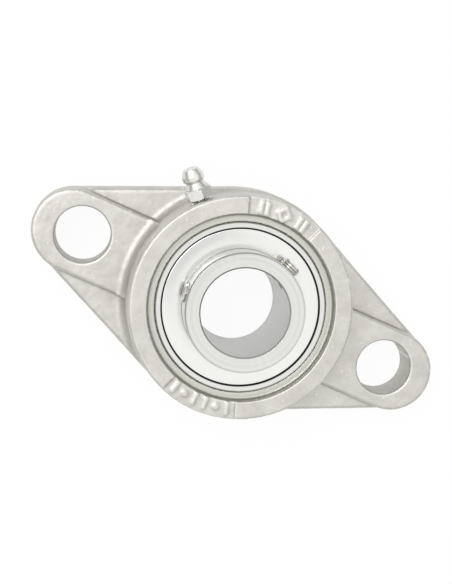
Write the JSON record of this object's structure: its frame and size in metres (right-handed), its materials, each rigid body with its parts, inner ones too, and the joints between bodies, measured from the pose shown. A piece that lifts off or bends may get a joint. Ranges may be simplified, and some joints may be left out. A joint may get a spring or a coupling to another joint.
{
  "type": "two-bolt flange mount bearing",
  "caption": "Rhombus flange bearing unit: cast stainless housing with a self-aligning ball bearing insert, set screws to lock its shaft and a grease nipple.",
  "frame": {"origin": "centre of the mounting face, on the shaft axis", "axes": "+Z along the shaft axis out of the housing's front, +X along the line through the two bolt holes, +Y across the flange on the grease nipple's side"},
  "size_m": [0.13, 0.068, 0.0358],
  "materials": {
    "cast_stainless": "fine blasted cast stainless steel",
    "ring_steel": "ground bearing steel",
    "ball_steel": "polished bearing steel",
    "cage_steel": "pressed stainless strip",
    "flinger_steel": "bright pressed stainless sheet",
    "seal_rubber": "black nitrile rubber",
    "seal_steel": "pressed steel",
    "screw_steel": "turned stainless steel",
    "nipple_steel": "bright turned stainless steel",
    "spring_steel": "drawn spring wire"
  },
  "bodies": {
    "housing": {"housing": "cast_stainless", "nipple_body": "nipple_steel", "nipple_washer": "nipple_steel", "nipple_spring": "spring_steel"},
    "insert": {"outer_ring": "ring_steel", "front_seal_rubber": "seal_rubber", "front_seal_shell": "seal_steel", "back_seal_rubber": "seal_rubber", "back_seal_shell": "seal_steel"},
    "inner_ring": {"inner_ring": "ring_steel", "front_flinger": "flinger_steel", "back_flinger": "flinger_steel"},
    "cage": {"cage_front": "cage_steel", "cage_back": "cage_steel", "cage_rivets": "cage_steel"},
    "ball_1": {"ball_1": "ball_steel"},
    "ball_2": {"ball_2": "ball_steel"},
    "ball_3": {"ball_3": "ball_steel"},
    "ball_4": {"ball_4": "ball_steel"},
    "ball_5": {"ball_5": "ball_steel"},
    "ball_6": {"ball_6": "ball_steel"},
    "ball_7": {"ball_7": "ball_steel"},
    "ball_8": {"ball_8": "ball_steel"},
    "ball_9": {"ball_9": "ball_steel"},
    "set_screw_1": {"set_screw_1": "screw_steel"},
    "set_screw_2": {"set_screw_2": "screw_steel"},
    "nipple_ball": {"nipple_ball": "ball_steel"}
  },
  "joints": [
    {"name": "insert_swivel", "type": "hinge", "parent": "housing", "child": "insert", "pos_m": [0, 0, 0.016], "axis": [1, 0, 0], "range_deg": [-3, 3]},
    {"name": "shaft_spin", "type": "hinge", "parent": "insert", "child": "inner_ring", "pos_m": [0, 0, 0.016], "axis": [0, 0, 1], "continuous": true},
    {"name": "cage_orbit", "type": "hinge", "parent": "insert", "child": "cage", "pos_m": [0, 0, 0.016], "axis": [0, 0, 1], "continuous": true},
    {"name": "ball_1_roll", "type": "hinge", "parent": "cage", "child": "ball_1", "pos_m": [0.0192, 0.00339, 0.016], "axis": [0, 0, 1], "continuous": true},
    {"name": "ball_2_roll", "type": "hinge", "parent": "cage", "child": "ball_2", "pos_m": [0.01253, 0.01494, 0.016], "axis": [0, 0, 1], "continuous": true},
    {"name": "ball_3_roll", "type": "hinge", "parent": "cage", "child": "ball_3", "pos_m": [0, 0.0195, 0.016], "axis": [0, 0, 1], "continuous": true},
    {"name": "ball_4_roll", "type": "hinge", "parent": "cage", "child": "ball_4", "pos_m": [-0.01253, 0.01494, 0.016], "axis": [0, 0, 1], "continuous": true},
    {"name": "ball_5_roll", "type": "hinge", "parent": "cage", "child": "ball_5", "pos_m": [-0.0192, 0.00339, 0.016], "axis": [0, 0, 1], "continuous": true},
    {"name": "ball_6_roll", "type": "hinge", "parent": "cage", "child": "ball_6", "pos_m": [-0.01689, -0.00975, 0.016], "axis": [0, 0, 1], "continuous": true},
    {"name": "ball_7_roll", "type": "hinge", "parent": "cage", "child": "ball_7", "pos_m": [-0.00667, -0.01832, 0.016], "axis": [0, 0, 1], "continuous": true},
    {"name": "ball_8_roll", "type": "hinge", "parent": "cage", "child": "ball_8", "pos_m": [0.00667, -0.01832, 0.016], "axis": [0, 0, 1], "continuous": true},
    {"name": "ball_9_roll", "type": "hinge", "parent": "cage", "child": "ball_9", "pos_m": [0.01689, -0.00975, 0.016], "axis": [0, 0, 1], "continuous": true},
    {"name": "set_screw_1_travel", "type": "slide", "parent": "inner_ring", "child": "set_screw_1", "axis": [-0.3907, -0.9205, 0], "range_m": [-0.0018, 0.0017]},
    {"name": "set_screw_2_travel", "type": "slide", "parent": "inner_ring", "child": "set_screw_2", "axis": [0.9925, 0.1219, 0], "range_m": [-0.0033, 0.0002]},
    {"name": "nipple_ball_press", "type": "slide", "parent": "housing", "child": "nipple_ball", "axis": [0.689, -0.7036, -0.1736], "range_m": [0, 0.0008], "stiffness_N_per_m": 300, "springref_m": -0.001, "deforming": ["nipple_spring"]}
  ],
  "couplings": [
    {"joint": "cage_orbit", "follows": "shaft_spin", "ratio": 0.39823},
    {"joint": "ball_1_roll", "follows": "shaft_spin", "ratio": -2.3548},
    {"joint": "ball_2_roll", "follows": "shaft_spin", "ratio": -2.3548},
    {"joint": "ball_3_roll", "follows": "shaft_spin", "ratio": -2.3548},
    {"joint": "ball_4_roll", "follows": "shaft_spin", "ratio": -2.3548},
    {"joint": "ball_5_roll", "follows": "shaft_spin", "ratio": -2.3548},
    {"joint": "ball_6_roll", "follows": "shaft_spin", "ratio": -2.3548},
    {"joint": "ball_7_roll", "follows": "shaft_spin", "ratio": -2.3548},
    {"joint": "ball_8_roll", "follows": "shaft_spin", "ratio": -2.3548},
    {"joint": "ball_9_roll", "follows": "shaft_spin", "ratio": -2.3548}
  ]
}
